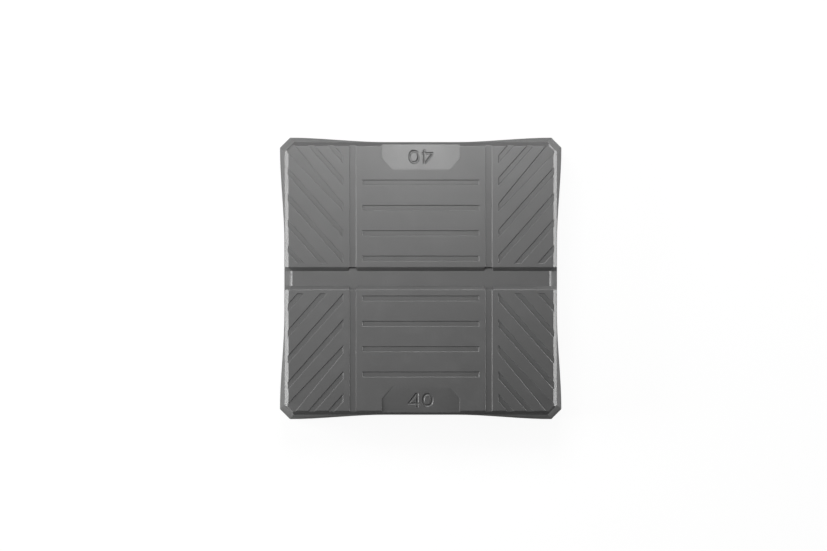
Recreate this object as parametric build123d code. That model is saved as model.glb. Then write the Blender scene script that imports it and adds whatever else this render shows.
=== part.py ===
from build123d import *
import os
from math import cos, radians, sin, tan

# Rubber lift pad, moulded as one block. Sizes in millimetres.
# The origin is the centre of the underside, +Z points up at the load face,
# the wide groove runs along X and the two narrow grooves run along Y.

# Block
height = 40.0
foot_side = 160.0  # across the foot, from corner region to corner region
foot_waist = 155.0  # across the foot at mid-side, where each side draws in
waist_length = 40.0  # straight middle part of each drawn-in side
foot_corner = 5.7  # leg of the foot's corner chamfer
crown_side = 152.0  # across the walls at the top, before the rim bevel
crown_corner = 5.2  # leg of the crown's corner chamfer
rim_bevel = 2.0  # 45 degree bevel round the load face

# Wide groove across the load face, which folds over both end walls
wide_width = 12.5
wide_depth = 2.1
wide_slope = 45.0  # flank angle from the load face
ramp_lean = 22.0  # run-out of the groove in the end wall, from upright

# Narrow grooves and their mouths into the wide groove
narrow_offset = 38.0  # from the centre of the pad to each centre line
narrow_width = 3.7
mouth_width = 4.8  # at the floor of the wide groove
mouth_draft = 12.0

# Shallow slots of the six panels
slot_width = 2.8
slot_depth = 0.45
slot_draft = 25.0  # walls of the slots, narrow grooves and number fields
panel_margin = 3.6  # from a narrow groove to the ends of the slots

# Straight slots of the two middle panels
straight_count = 4
straight_pitch = 14.15
straight_start = 4.9  # from the wide groove to the first centre line

# Slanted slots of the four corner panels
slant_angle = 48.5
slant_pitch = 14.5  # measured along Y
slant_margin = 2.2  # from the wide groove to the ends of the slots
slants_inside = 4  # slots between the corner wedge and the wide groove
short_slant_pitch = 12.5  # from the last full slot to the short one by the rim
wedge_spread = 2.1  # each side of the corner wedge

# Number fields in the middle of two rims, floors sloping down outwards
field_width = 43.4
field_reach = 13.6  # from the rim of the load face inwards
field_depth = 0.9  # at the rim of the load face
field_corner_x = 6.1
field_corner_y = 6.8

# Worked out from the sizes above
air = 5.0
face_half = crown_side / 2 - rim_bevel
wall_draft = (foot_waist - crown_side) / 2 / height  # at mid-side, for each millimetre down
bevel_drop = rim_bevel / (1 - wall_draft)
face_corner = crown_corner - 2 * rim_bevel * (1 - tan(radians(22.5)))
wide_flank = wide_depth / tan(radians(wide_slope))
panel_edge = narrow_offset + narrow_width / 2 + panel_margin
load_face = Plane.XY.offset(height)


def chamfered_square(side, corner):
    """A square with its four corners cut off at 45 degrees."""
    square = Rectangle(side, side)
    return chamfer(square.vertices(), corner)


def foot_outline():
    """The foot: straight at mid-side, flaring smoothly out to each corner."""
    half = foot_side / 2
    run = half - foot_corner
    flat = waist_length / 2
    pull = (run - flat) / 3
    waist = -foot_waist / 2
    side = [
        Bezier((-run, -half), (pull - run, -half), (-flat - pull, waist), (-flat, waist)),
        Line((-flat, waist), (flat, waist)),
        Bezier((flat, waist), (flat + pull, waist), (run - pull, -half), (run, -half)),
        Line((run, -half), (half, -run)),
    ]
    return make_face([Rot(0, 0, turn) * edge for turn in (0, 90, 180, 270) for edge in side])


def crown_outline():
    """The crown: straight sides, divided where the foot's sides change."""
    half = crown_side / 2
    run = half - crown_corner
    flat = waist_length / 2
    side = Polyline((-run, -half), (-flat, -half), (flat, -half), (run, -half), (half, -run))
    return make_face([Rot(0, 0, turn) * edge for turn in (0, 90, 180, 270) for edge in side.edges()])


def block():
    """The walls from foot to crown, topped by the bevel round the load face."""
    walls = loft([foot_outline(), load_face * crown_outline()], ruled=True)
    face = load_face * chamfered_square(2 * face_half, face_corner)
    bevel = extrude(face, amount=-height, taper=-45)
    return walls & bevel


def recess(outline, depth):
    """A cutter sunk into the load face, with drafted walls."""
    face = load_face * outline
    return extrude(face, amount=-depth, taper=slot_draft) + extrude(face, amount=air)


def channel(start, lean):
    """A cutter for the wide groove on a surface that leans from upright and passes through start."""
    angle = radians(lean)
    sunk = wide_depth * (sin(angle) + cos(angle))
    rim = wide_width / 2
    floor = rim - wide_flank
    section = Polygon(
        (-rim, air), (-rim, 0), (-floor, -sunk), (floor, -sunk), (rim, 0), (rim, air), align=None
    )
    run = Plane(origin=start, x_dir=(0, 1, 0), z_dir=(sin(angle), 0, -cos(angle)))
    return extrude(run * section, amount=foot_side, both=True)


def wide_groove():
    """The wide groove along the load face, over both rims and out through the end walls."""
    over_rim = channel((face_half, 0, height), 45)
    down_wall = channel((face_half + bevel_drop, 0, height - bevel_drop), ramp_lean)
    fold = over_rim + down_wall
    return channel((0, 0, height), 90) + fold + mirror(fold, Plane.YZ)


def narrow_groove(x):
    """A narrow groove and the wider mouth that drops it to the floor of the wide groove."""
    groove = recess(Pos(x, 0) * Rectangle(narrow_width, foot_side), slot_depth)
    edge = wide_width / 2
    beyond = edge + wide_flank
    tail = narrow_width - mouth_width / 2
    floor_edge = edge - wide_flank
    half = mouth_width / 2
    corners = [(half, floor_edge), (tail, beyond), (-tail, beyond), (-half, floor_edge)]
    plan = Polygon(*corners, *[(-px, -py) for px, py in corners], align=None)
    floor = Plane.XY.offset(height - wide_depth)
    mouth = extrude(floor * (Pos(x, 0) * plan), amount=wide_depth + air, taper=-mouth_draft)
    reach = Pos(x, 0, height) * Box(4 * mouth_width, wide_width, 4 * air)
    return groove + (mouth & reach)


def straight_slots():
    """The rows of slots across the two middle panels."""
    half_length = narrow_offset - narrow_width / 2 - panel_margin
    first = wide_width / 2 + straight_start
    slots = []
    for row in range(straight_count):
        y = first + row * straight_pitch
        for side in (-1, 1):
            slots.append(recess(Pos(0, side * y) * Rectangle(2 * half_length, slot_width), slot_depth))
    return slots


def slanted_slot(y, spread=0.0):
    """One slot of the +X +Y corner panel, crossing the panel's inner edge at y."""
    back = 3 * slot_width
    widening = tan(radians(spread))
    inner = slot_width / 2 - back * widening
    outer = slot_width / 2 + foot_side * widening
    strip = Polygon((-back, -inner), (foot_side, -outer), (foot_side, outer), (-back, inner), align=None)
    return recess(Pos(panel_edge, y) * Rot(0, 0, slant_angle) * strip, slot_depth)


def corner_panel():
    """The slanted slots of the +X +Y corner panel, among them the wedge that points at the corner."""
    corner_centre = face_half - face_corner / 2
    wedge_y = corner_centre - (corner_centre - panel_edge) * tan(radians(slant_angle))
    slots = slanted_slot(wedge_y, wedge_spread)
    for step in range(1, slants_inside + 1):
        slots += slanted_slot(wedge_y - step * slant_pitch)
    slots += slanted_slot(wedge_y + slant_pitch)
    slots += slanted_slot(wedge_y + slant_pitch + short_slant_pitch)
    panel_start = wide_width / 2 + slant_margin
    panel = Rectangle(foot_side, foot_side, align=(Align.MIN, Align.MIN))
    return slots & recess(Pos(panel_edge, panel_start) * panel, slot_depth)


def number_field():
    """The number field at the +Y rim, level with the load face inside and sunk at the rim."""
    inner = face_half - field_reach
    half = field_width / 2
    outer = foot_side / 2
    corners = [(half, outer), (half, inner + field_corner_y), (half - field_corner_x, inner)]
    plan = Polygon(*corners, *[(-px, py) for px, py in reversed(corners)], align=None)
    fall = field_depth / field_reach
    floor = Plane(origin=(0, inner, height), x_dir=(1, 0, 0), z_dir=(0, fall, 1))
    return split(recess(plan, 2 * field_depth), bisect_by=floor, keep=Keep.TOP)


def lift_pad():
    """The finished pad."""
    pad = block() - wide_groove()
    for side in (-1, 1):
        pad -= narrow_groove(side * narrow_offset)
    pad -= straight_slots()
    panel = corner_panel()
    panels = [panel, mirror(panel, Plane.XZ)]
    pad -= panels + [mirror(half, Plane.YZ) for half in panels]
    field = number_field()
    return pad - field - mirror(field, Plane.XZ)


os.makedirs("parts", exist_ok=True)
export_step(lift_pad(), "parts/lift_pad.step")
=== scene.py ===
import math

import bmesh
import bpy
from mathutils import Matrix, Vector


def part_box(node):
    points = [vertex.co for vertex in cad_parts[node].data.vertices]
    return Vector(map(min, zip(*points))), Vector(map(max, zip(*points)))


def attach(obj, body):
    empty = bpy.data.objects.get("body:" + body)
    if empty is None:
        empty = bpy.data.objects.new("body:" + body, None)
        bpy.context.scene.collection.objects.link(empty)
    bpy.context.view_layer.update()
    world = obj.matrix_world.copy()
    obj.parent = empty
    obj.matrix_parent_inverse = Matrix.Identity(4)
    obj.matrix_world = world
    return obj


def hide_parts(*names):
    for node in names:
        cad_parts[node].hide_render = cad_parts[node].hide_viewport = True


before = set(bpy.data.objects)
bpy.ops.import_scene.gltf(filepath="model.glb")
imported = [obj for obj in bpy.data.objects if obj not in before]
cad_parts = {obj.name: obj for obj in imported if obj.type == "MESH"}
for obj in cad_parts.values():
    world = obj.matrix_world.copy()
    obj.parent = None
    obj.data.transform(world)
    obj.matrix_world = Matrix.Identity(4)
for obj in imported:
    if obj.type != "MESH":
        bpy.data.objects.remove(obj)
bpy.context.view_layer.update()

# Cutting and smoothing the block, in metres and radians
LARGE = 1000.0  # the block is cut at this scale, where short edges stay apart
MERGED = 0.000001  # corners nearer to each other than this are one corner
SEAM = 0.000003  # the same for corners that a cut left doubled
FLAT_ANGLE = math.radians(0.5)  # edges that turn by less lie inside a flat face
LIP_ANGLE = math.radians(25)  # outer edges that turn by more are lips, and are rounded
SHARP_ANGLE = math.radians(35)  # edges that turn by more stay sharp
LIP_SEGMENTS = 3

# The number fields, whose floors fall from their inner edge to the rim
FIELD_START = 0.0604  # from the centre of the pad to the inner edge
FIELD_REACH = 0.0136  # from the inner edge to the rim
FIELD_DEPTH = 0.0009  # at the rim
BESIDE_MIDDLE = 0.00037  # from the middle of the figures to the line that divides a field

# The rubber's noises, in features for each metre
GRAIN = 2600.0
PORES = 900.0
CLOUDS = 38.0
MARKS = 95.0

# The studio: each lamp's name, place, width and height in metres
AIM = (0.0, 0.0, 0.03)
LAMPS = (
    ("top_back", (0.00, 0.20, 0.40), (0.20, 0.20)),
    ("top_left", (-0.20, 0.00, 0.40), (0.20, 0.20)),
    ("side_left", (-0.535, 0.00, 0.272), (0.30, 0.30)),
    ("side_back", (0.00, 0.769, 0.220), (0.40, 0.16)),
    ("low_left", (-0.995, 0.00, 0.105), (0.60, 0.16)),
    ("low_right", (0.985, 0.138, 0.105), (0.75, 0.16)),
    ("low_back_left", (-0.703, 0.703, 0.105), (0.60, 0.16)),
    ("low_back_right", (0.703, 0.703, 0.105), (0.60, 0.16)),
    ("low_front_left", (-0.703, -0.703, 0.105), (0.60, 0.16)),
)
FLOOR_SIZE = 8.0
SEEN_WHITE = 0.93  # how much of the floor is plain white to the camera
MIRRORED_WHITE = 0.07  # and to a reflection
CAMERA_PLACE = (-0.00408, 0.00165, 2.34)
LENS = 179.2
SENSOR = 36.0
VIEW_DEPTH = 20.0

bl_info = {
    "name": "Rubber Lift Pad",
    "version": (1, 0, 0),
    "blender": (4, 5, 0),
    "location": "View3D > Sidebar > Lift Pad",
    "description": "Dresses a moulded rubber lift pad and lights it on a pale floor",
    "category": "Object",
}


class PadSizes(bpy.types.PropertyGroup):
    """Sizes and finish of the moulded block."""

    lip_radius: bpy.props.FloatProperty(
        name="Lip Radius",
        description="Rounding of the slots, grooves and rims",
        default=0.00035, min=0.0, subtype="DISTANCE", unit="LENGTH",
    )
    figure_height: bpy.props.FloatProperty(
        name="Figure Height",
        description="Height of the engraved figures",
        default=0.0080, min=0.001, subtype="DISTANCE", unit="LENGTH",
    )
    figure_depth: bpy.props.FloatProperty(
        name="Figure Depth",
        description="Depth of the engraved strokes",
        default=0.00045, min=0.0001, subtype="DISTANCE", unit="LENGTH",
    )
    figure_offset: bpy.props.FloatProperty(
        name="Figure Offset",
        description="From the centre of the pad to the middle of the figures",
        default=0.0680, min=0.0, subtype="DISTANCE", unit="LENGTH",
    )
    rubber_colour: bpy.props.FloatVectorProperty(
        name="Rubber Colour",
        description="Base colour of the rubber",
        default=(0.050, 0.050, 0.050), min=0.0, max=1.0, size=3, subtype="COLOR",
    )
    field_colour: bpy.props.FloatVectorProperty(
        name="Number Field Colour",
        description="Base colour of the two number fields",
        default=(0.052, 0.052, 0.052), min=0.0, max=1.0, size=3, subtype="COLOR",
    )
    rubber_roughness: bpy.props.FloatProperty(
        name="Rubber Roughness",
        description="Roughness of the satin rubber",
        default=0.40, min=0.0, max=1.0, subtype="FACTOR",
    )


class StudioLevels(bpy.types.PropertyGroup):
    """Levels of the lamps and of the sky, and the colour of the floor."""

    top_back: bpy.props.FloatProperty(
        name="Top Back Lamp", description="Power of the softbox above the back edge",
        default=2.05, min=0.0, unit="POWER",
    )
    top_left: bpy.props.FloatProperty(
        name="Top Left Lamp", description="Power of the softbox above the left edge",
        default=0.25, min=0.0, unit="POWER",
    )
    side_left: bpy.props.FloatProperty(
        name="Side Left Lamp", description="Power of the raised softbox on the left",
        default=4.5, min=0.0, unit="POWER",
    )
    side_back: bpy.props.FloatProperty(
        name="Side Back Lamp", description="Power of the raised softbox behind the pad",
        default=0.6, min=0.0, unit="POWER",
    )
    low_left: bpy.props.FloatProperty(
        name="Low Left Lamp", description="Power of the softbox that stands on the left",
        default=7.0, min=0.0, unit="POWER",
    )
    low_right: bpy.props.FloatProperty(
        name="Low Right Lamp", description="Power of the softbox that stands on the right",
        default=12.5, min=0.0, unit="POWER",
    )
    low_back_left: bpy.props.FloatProperty(
        name="Low Back Left Lamp", description="Power of the softbox behind the left corner",
        default=0.8, min=0.0, unit="POWER",
    )
    low_back_right: bpy.props.FloatProperty(
        name="Low Back Right Lamp", description="Power of the softbox behind the right corner",
        default=9.0, min=0.0, unit="POWER",
    )
    low_front_left: bpy.props.FloatProperty(
        name="Low Front Left Lamp", description="Power of the softbox before the left corner",
        default=2.6, min=0.0, unit="POWER",
    )
    sky: bpy.props.FloatProperty(
        name="Sky", description="Strength of the even light all round",
        default=0.0, min=0.0,
    )
    floor_colour: bpy.props.FloatVectorProperty(
        name="Floor Colour", description="Colour of the floor",
        default=(0.80, 0.80, 0.80), min=0.0, max=1.0, size=3, subtype="COLOR",
    )
    floor_bounce: bpy.props.FloatVectorProperty(
        name="Floor Bounce", description="Colour of the light that the floor throws back",
        default=(0.25, 0.25, 0.25), min=0.0, max=1.0, size=3, subtype="COLOR",
    )


class Value:
    """A socket of a node tree, with sums written as in Python."""

    def __init__(self, tree, socket=None):
        self.tree = tree
        self.socket = socket

    def node(self, kind, settings, inputs, output=0):
        """Add a node with its settings and inputs, and give back one of its outputs."""
        node = self.tree.nodes.new(kind)
        for name, setting in settings.items():
            setattr(node, name, setting)
        for name, value in inputs.items():
            if isinstance(value, Value):
                self.tree.links.new(value.socket, node.inputs[name])
            else:
                node.inputs[name].default_value = value
        return Value(self.tree, node.outputs[output] if node.outputs else None)

    def maths(self, operation, first, second):
        return self.node("ShaderNodeMath", {"operation": operation}, {0: first, 1: second})

    def __add__(self, other):
        return self.maths("ADD", self, other)

    def __radd__(self, other):
        return self.maths("ADD", other, self)

    def __sub__(self, other):
        return self.maths("SUBTRACT", self, other)

    def __rsub__(self, other):
        return self.maths("SUBTRACT", other, self)

    def __mul__(self, other):
        return self.maths("MULTIPLY", self, other)

    def __rmul__(self, other):
        return self.maths("MULTIPLY", other, self)


def empty_material(name):
    """A material with no nodes, and the value that starts its node tree."""
    material = bpy.data.materials.new(name)
    material.use_nodes = True
    material.node_tree.nodes.clear()
    return material, Value(material.node_tree)


def noise(start, place, scale, detail, roughness=0.5, distortion=0.0):
    """Even noise round 0.5 at a number of features for each metre."""
    inputs = {
        "Vector": place, "Scale": scale, "Detail": detail,
        "Roughness": roughness, "Distortion": distortion,
    }
    return start.node("ShaderNodeTexNoise", {}, inputs)


def spread(start, value, low, high, to_low, to_high):
    """A value moved smoothly from one range to another, and held inside it."""
    inputs = {
        "Value": value, "From Min": low, "From Max": high, "To Min": to_low, "To Max": to_high,
    }
    return start.node("ShaderNodeMapRange", {"interpolation_type": "SMOOTHSTEP"}, inputs)


def rubber(name, colour, roughness):
    """Satin moulded rubber: fine grain, a cloudy skin and faint handling marks."""
    material, start = empty_material(name)
    place = start.node("ShaderNodeTexCoord", {}, {}, output="Object")
    grain = noise(start, place, GRAIN, 2.0)
    pores = noise(start, place, PORES, 3.0, 0.6)
    clouds = noise(start, place, CLOUDS, 3.0, 0.55, 0.6)
    streaks = noise(start, place, MARKS, 4.0, 0.62, 1.2)
    marks = spread(start, streaks, 0.50, 0.72, 0.0, 1.0)
    tone = 0.84 + 0.30 * clouds + 0.10 * (pores - 0.5) + 0.05 * (grain - 0.5) + 0.03 * marks
    plain = start.node(
        "ShaderNodeCombineColor", {"mode": "RGB"}, {"Red": tone, "Green": tone, "Blue": tone}
    )
    dyed = start.node(
        "ShaderNodeMix", {"data_type": "RGBA", "blend_type": "MULTIPLY"},
        {0: 1.0, 6: (*colour, 1.0), 7: plain}, output=2,
    )
    sheen = roughness - 0.05 * (clouds - 0.5) + 0.06 * (pores - 0.5) + 0.05 * marks
    relief = 0.6 * grain + 0.4 * pores
    bump = start.node(
        "ShaderNodeBump", {}, {"Height": relief, "Strength": 0.25, "Distance": 0.00004}
    )
    shader = start.node(
        "ShaderNodeBsdfPrincipled", {},
        {
            "Base Color": dyed, "Roughness": sheen, "Specular IOR Level": 0.5,
            "IOR": 1.5, "Normal": bump,
        },
    )
    start.node("ShaderNodeOutputMaterial", {}, {"Surface": shader})
    return material


def choose(piece):
    """Make one object the only selected and active one."""
    bpy.ops.object.select_all(action="DESELECT")
    piece.select_set(True)
    bpy.context.view_layer.objects.active = piece


def apply_place(piece):
    """Put an object's place and turn into its mesh."""
    choose(piece)
    bpy.ops.object.transform_apply(location=True, rotation=True, scale=True)


def copied_block():
    """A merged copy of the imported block, without its triangles' edges."""
    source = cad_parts["lift_pad"]
    block = bpy.data.objects.new("moulded_block", source.data.copy())
    bpy.context.scene.collection.objects.link(block)
    choose(block)
    bpy.ops.mesh.customdata_custom_splitnormals_clear()
    bpy.ops.object.mode_set(mode="EDIT")
    bpy.ops.mesh.select_all(action="SELECT")
    bpy.ops.mesh.remove_doubles(threshold=MERGED)
    bpy.ops.mesh.mark_sharp(clear=True)
    bpy.ops.mesh.dissolve_limited(angle_limit=FLAT_ANGLE)
    bpy.ops.object.mode_set(mode="OBJECT")
    return block


def on_number_field(face):
    """Whether a face is the gently sloping floor of a number field."""
    return face.normal.z > 0.99 and 0.03 < abs(face.normal.y) < 0.10


def divide_number_fields(block, offset):
    """Divide both number fields just beside the middle of their figures."""
    choose(block)
    bpy.ops.object.mode_set(mode="EDIT")
    bpy.ops.mesh.select_mode(type="FACE")
    for side in (-1, 1):
        bpy.ops.mesh.select_all(action="DESELECT")
        mesh = bmesh.from_edit_mesh(block.data)
        for face in mesh.faces:
            face.select = on_number_field(face) and face.calc_center_median().y * side > 0
        bmesh.update_edit_mesh(block.data)
        line = side * (offset + BESIDE_MIDDLE)
        bpy.ops.mesh.bisect(plane_co=(0, line, 0), plane_no=(0, 1, 0))
    bpy.ops.object.mode_set(mode="OBJECT")


def round_lips(block, radius):
    """Round every lip, rim and outer corner of the block."""
    choose(block)
    bpy.ops.object.mode_set(mode="EDIT")
    bpy.ops.mesh.select_mode(type="EDGE")
    bpy.ops.mesh.select_all(action="DESELECT")
    mesh = bmesh.from_edit_mesh(block.data)
    for edge in mesh.edges:
        edge.select = edge.is_convex and edge.calc_face_angle() > LIP_ANGLE
    bmesh.update_edit_mesh(block.data)
    bpy.ops.mesh.bevel(
        offset=radius, segments=LIP_SEGMENTS, affect="EDGES", clamp_overlap=True, miter_outer="SHARP"
    )
    bpy.ops.object.mode_set(mode="OBJECT")


def stroke(points, width, depth, closed=False):
    """A round cutter that follows one stroke of a figure and sinks to a depth."""
    radius = (width * width / 4 + depth * depth) / (2 * depth)
    bpy.ops.object.select_all(action="DESELECT")
    if closed:
        bpy.ops.curve.primitive_bezier_circle_add(radius=1.0, location=(0, 0, 0))
    else:
        bpy.ops.curve.primitive_bezier_curve_add(radius=1.0, location=(0, 0, 0))
    path = bpy.context.object
    knots = path.data.splines[0].bezier_points
    for knot, (x, y, hx, hy) in zip(knots, points):
        knot.handle_left_type = "FREE"
        knot.handle_right_type = "FREE"
        knot.co = (x, y, 0)
        knot.handle_left = (x - hx, y - hy, 0)
        knot.handle_right = (x + hx, y + hy, 0)
    path.data.resolution_u = 12
    path.data.bevel_depth = radius
    path.data.bevel_resolution = 10
    path.data.use_fill_caps = True
    path.location.z = radius - depth
    choose(path)
    bpy.ops.object.convert(target="MESH")
    cutter = bpy.context.object
    apply_place(cutter)
    bpy.ops.object.mode_set(mode="EDIT")
    bpy.ops.mesh.select_all(action="SELECT")
    bpy.ops.mesh.remove_doubles(threshold=MERGED)
    bpy.ops.mesh.normals_make_consistent(inside=False)
    bpy.ops.object.mode_set(mode="OBJECT")
    return cutter


def figure_strokes(height, depth):
    """The strokes of the two figures, drawn on a grid that is 8 units high."""
    unit = height / 8.0
    straight = [  # start, end and width
        ((-7.0, -2.0), (-0.55, -2.0), 1.45),
        ((-6.5, -1.75), (-2.35, 3.7), 1.45),
        ((-1.95, 4.0), (-1.95, -4.0), 1.75),
    ]
    cutters = []
    for (x0, y0), (x1, y1), width in straight:
        hx, hy = (x1 - x0) / 3, (y1 - y0) / 3
        ends = [(x0, y0, hx, hy), (x1, y1, hx, hy)]
        knots = [tuple(unit * number for number in knot) for knot in ends]
        cutters.append(stroke(knots, width * unit, depth))
    x, half_width, half_height, width = 3.80, 2.45, 3.15, 1.75
    side, top = 2.0, 1.5  # handles of the ring's side and top knots
    ring = [
        (x - half_width, 0, 0, side),
        (x, half_height, top, 0),
        (x + half_width, 0, 0, -side),
        (x, -half_height, -top, 0),
    ]
    knots = [tuple(unit * number for number in knot) for knot in ring]
    cutters.append(stroke(knots, width * unit, depth, closed=True))
    return cutters


def engrave(block, cutter, turn, offset, tilt, height):
    """Cut one stroke into a number field and take the cutter away."""
    laid = Matrix.Translation((0, -offset, height)) @ Matrix.Rotation(tilt, 4, "X")
    cutter.data.transform(Matrix.Rotation(turn, 4, "Z") @ laid)
    cutter.data.transform(Matrix.Scale(LARGE, 4))
    cut = block.modifiers.new("figure", "BOOLEAN")
    cut.operation = "DIFFERENCE"
    cut.solver = "EXACT"
    cut.object = cutter
    choose(block)
    bpy.ops.object.modifier_apply(modifier=cut.name)
    bpy.data.objects.remove(cutter)


def close_seams(block):
    """Merge the corners that the cuts left doubled."""
    choose(block)
    bpy.ops.object.mode_set(mode="EDIT")
    bpy.ops.mesh.select_all(action="SELECT")
    bpy.ops.mesh.remove_doubles(threshold=SEAM)
    bpy.ops.mesh.dissolve_degenerate(threshold=MERGED)
    bpy.ops.object.mode_set(mode="OBJECT")


class LIFT_PAD_OT_block(bpy.types.Operator):
    """Dress the moulded block: round its lips, engrave the figures and give it its rubber"""

    bl_idname = "lift_pad.block"
    bl_label = "Moulded Block"

    def execute(self, context):
        sizes = context.scene.pad_sizes
        block = copied_block()
        block.data.materials.clear()
        for name, colour in (
            ("moulded_rubber", sizes.rubber_colour),
            ("number_field_rubber", sizes.field_colour),
        ):
            block.data.materials.append(rubber(name, colour, sizes.rubber_roughness))
        for face in block.data.polygons:
            face.material_index = int(on_number_field(face))
        divide_number_fields(block, sizes.figure_offset)
        round_lips(block, sizes.lip_radius)
        fall = FIELD_DEPTH / FIELD_REACH
        tilt = math.atan(fall)
        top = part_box("lift_pad")[1][2]
        floor = top - fall * (sizes.figure_offset - FIELD_START)
        block.data.transform(Matrix.Scale(LARGE, 4))
        for turn in (0.0, math.pi):
            for cutter in figure_strokes(sizes.figure_height, sizes.figure_depth):
                engrave(block, cutter, turn, sizes.figure_offset, tilt, floor)
        block.data.transform(Matrix.Scale(1 / LARGE, 4))
        close_seams(block)
        choose(block)
        bpy.ops.object.shade_smooth_by_angle(angle=SHARP_ANGLE)
        weight = block.modifiers.new("flat_faces", "WEIGHTED_NORMAL")
        weight.mode = "FACE_AREA"
        weight.weight = 100
        weight.keep_sharp = True
        bpy.ops.object.modifier_apply(modifier=weight.name)
        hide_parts("lift_pad")
        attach(block, "root")
        return {"FINISHED"}


def softbox(name, place, size, power):
    """A flat lamp that faces the pad and shows in no view."""
    bpy.ops.object.light_add(type="AREA", location=place)
    lamp = bpy.context.object
    lamp.name = name
    lamp.data.shape = "RECTANGLE"
    lamp.data.size, lamp.data.size_y = size
    lamp.data.energy = power
    lamp.visible_camera = False
    aim = Vector(AIM) - Vector(place)
    lamp.rotation_euler = aim.to_track_quat("-Z", "Y").to_euler()


def floor_material(colour, bounce):
    """A pale floor that looks white and keeps the shadow, and throws less light back on the pad."""
    material, start = empty_material("pale_floor")
    camera = start.node("ShaderNodeLightPath", {}, {}, output="Is Camera Ray")
    glossy = start.node("ShaderNodeLightPath", {}, {}, output="Is Glossy Ray")
    through = start.node("ShaderNodeLightPath", {}, {}, output="Is Transmission Ray")
    tint = start.node(
        "ShaderNodeMix", {"data_type": "RGBA"},
        {0: camera, 6: (*bounce, 1.0), 7: (*colour, 1.0)}, output=2,
    )
    white = start.node("ShaderNodeEmission", {}, {"Color": (1, 1, 1, 1), "Strength": 1.0})
    matt = start.node("ShaderNodeBsdfDiffuse", {}, {"Color": tint})
    share = SEEN_WHITE * (camera + through) + MIRRORED_WHITE * glossy
    mixed = start.node("ShaderNodeMixShader", {}, {0: share, 1: matt, 2: white})
    start.node("ShaderNodeOutputMaterial", {}, {"Surface": mixed})
    return material


def sky(strength):
    """Even light all round, white where the camera meets it."""
    world = bpy.context.scene.world or bpy.data.worlds.new("studio")
    bpy.context.scene.world = world
    world.use_nodes = True
    world.node_tree.nodes.clear()
    start = Value(world.node_tree)
    camera_ray = start.node("ShaderNodeLightPath", {}, {}, output="Is Camera Ray")
    level = strength + (1 - strength) * camera_ray
    light = start.node("ShaderNodeBackground", {}, {"Color": (1, 1, 1, 1), "Strength": level})
    start.node("ShaderNodeOutputWorld", {}, {"Surface": light})


class LIFT_PAD_OT_stage(bpy.types.Operator):
    """Set the pale floor, the softboxes, the sky and the camera above the pad"""

    bl_idname = "lift_pad.stage"
    bl_label = "Studio Stage"

    def execute(self, context):
        levels = context.scene.studio_levels
        bpy.ops.object.select_all(action="DESELECT")
        bpy.ops.mesh.primitive_plane_add(size=FLOOR_SIZE, location=(0, 0, 0))
        floor = context.object
        floor.name = "studio_floor"
        floor.data.materials.append(floor_material(levels.floor_colour, levels.floor_bounce))
        for name, place, size in LAMPS:
            softbox(name + "_lamp", place, size, getattr(levels, name))
        sky(levels.sky)
        bpy.ops.object.camera_add(location=CAMERA_PLACE, rotation=(0, 0, 0))
        camera = context.object
        camera.name = "camera"
        camera.data.type = "PERSP"
        camera.data.sensor_width = SENSOR
        camera.data.lens = LENS
        camera.data.clip_end = VIEW_DEPTH
        context.scene.camera = camera
        context.scene.view_settings.view_transform = "Standard"
        return {"FINISHED"}


class LIFT_PAD_PT_panel(bpy.types.Panel):
    """The pieces of the lift pad's scene"""

    bl_idname = "LIFT_PAD_PT_panel"
    bl_label = "Lift Pad"
    bl_space_type = "VIEW_3D"
    bl_region_type = "UI"
    bl_category = "Lift Pad"

    def draw(self, context):
        layout = self.layout
        for name in PadSizes.__annotations__:
            layout.prop(context.scene.pad_sizes, name)
        layout.operator("lift_pad.block")
        for name in StudioLevels.__annotations__:
            layout.prop(context.scene.studio_levels, name)
        layout.operator("lift_pad.stage")


classes = (PadSizes, StudioLevels, LIFT_PAD_OT_block, LIFT_PAD_OT_stage, LIFT_PAD_PT_panel)


def register():
    for kind in classes:
        bpy.utils.register_class(kind)
    bpy.types.Scene.pad_sizes = bpy.props.PointerProperty(type=PadSizes)
    bpy.types.Scene.studio_levels = bpy.props.PointerProperty(type=StudioLevels)


def unregister():
    del bpy.types.Scene.studio_levels
    del bpy.types.Scene.pad_sizes
    for kind in reversed(classes):
        bpy.utils.unregister_class(kind)


def main():
    register()
    bpy.ops.lift_pad.block()
    bpy.ops.lift_pad.stage()


if __name__ == "__main__":
    main()
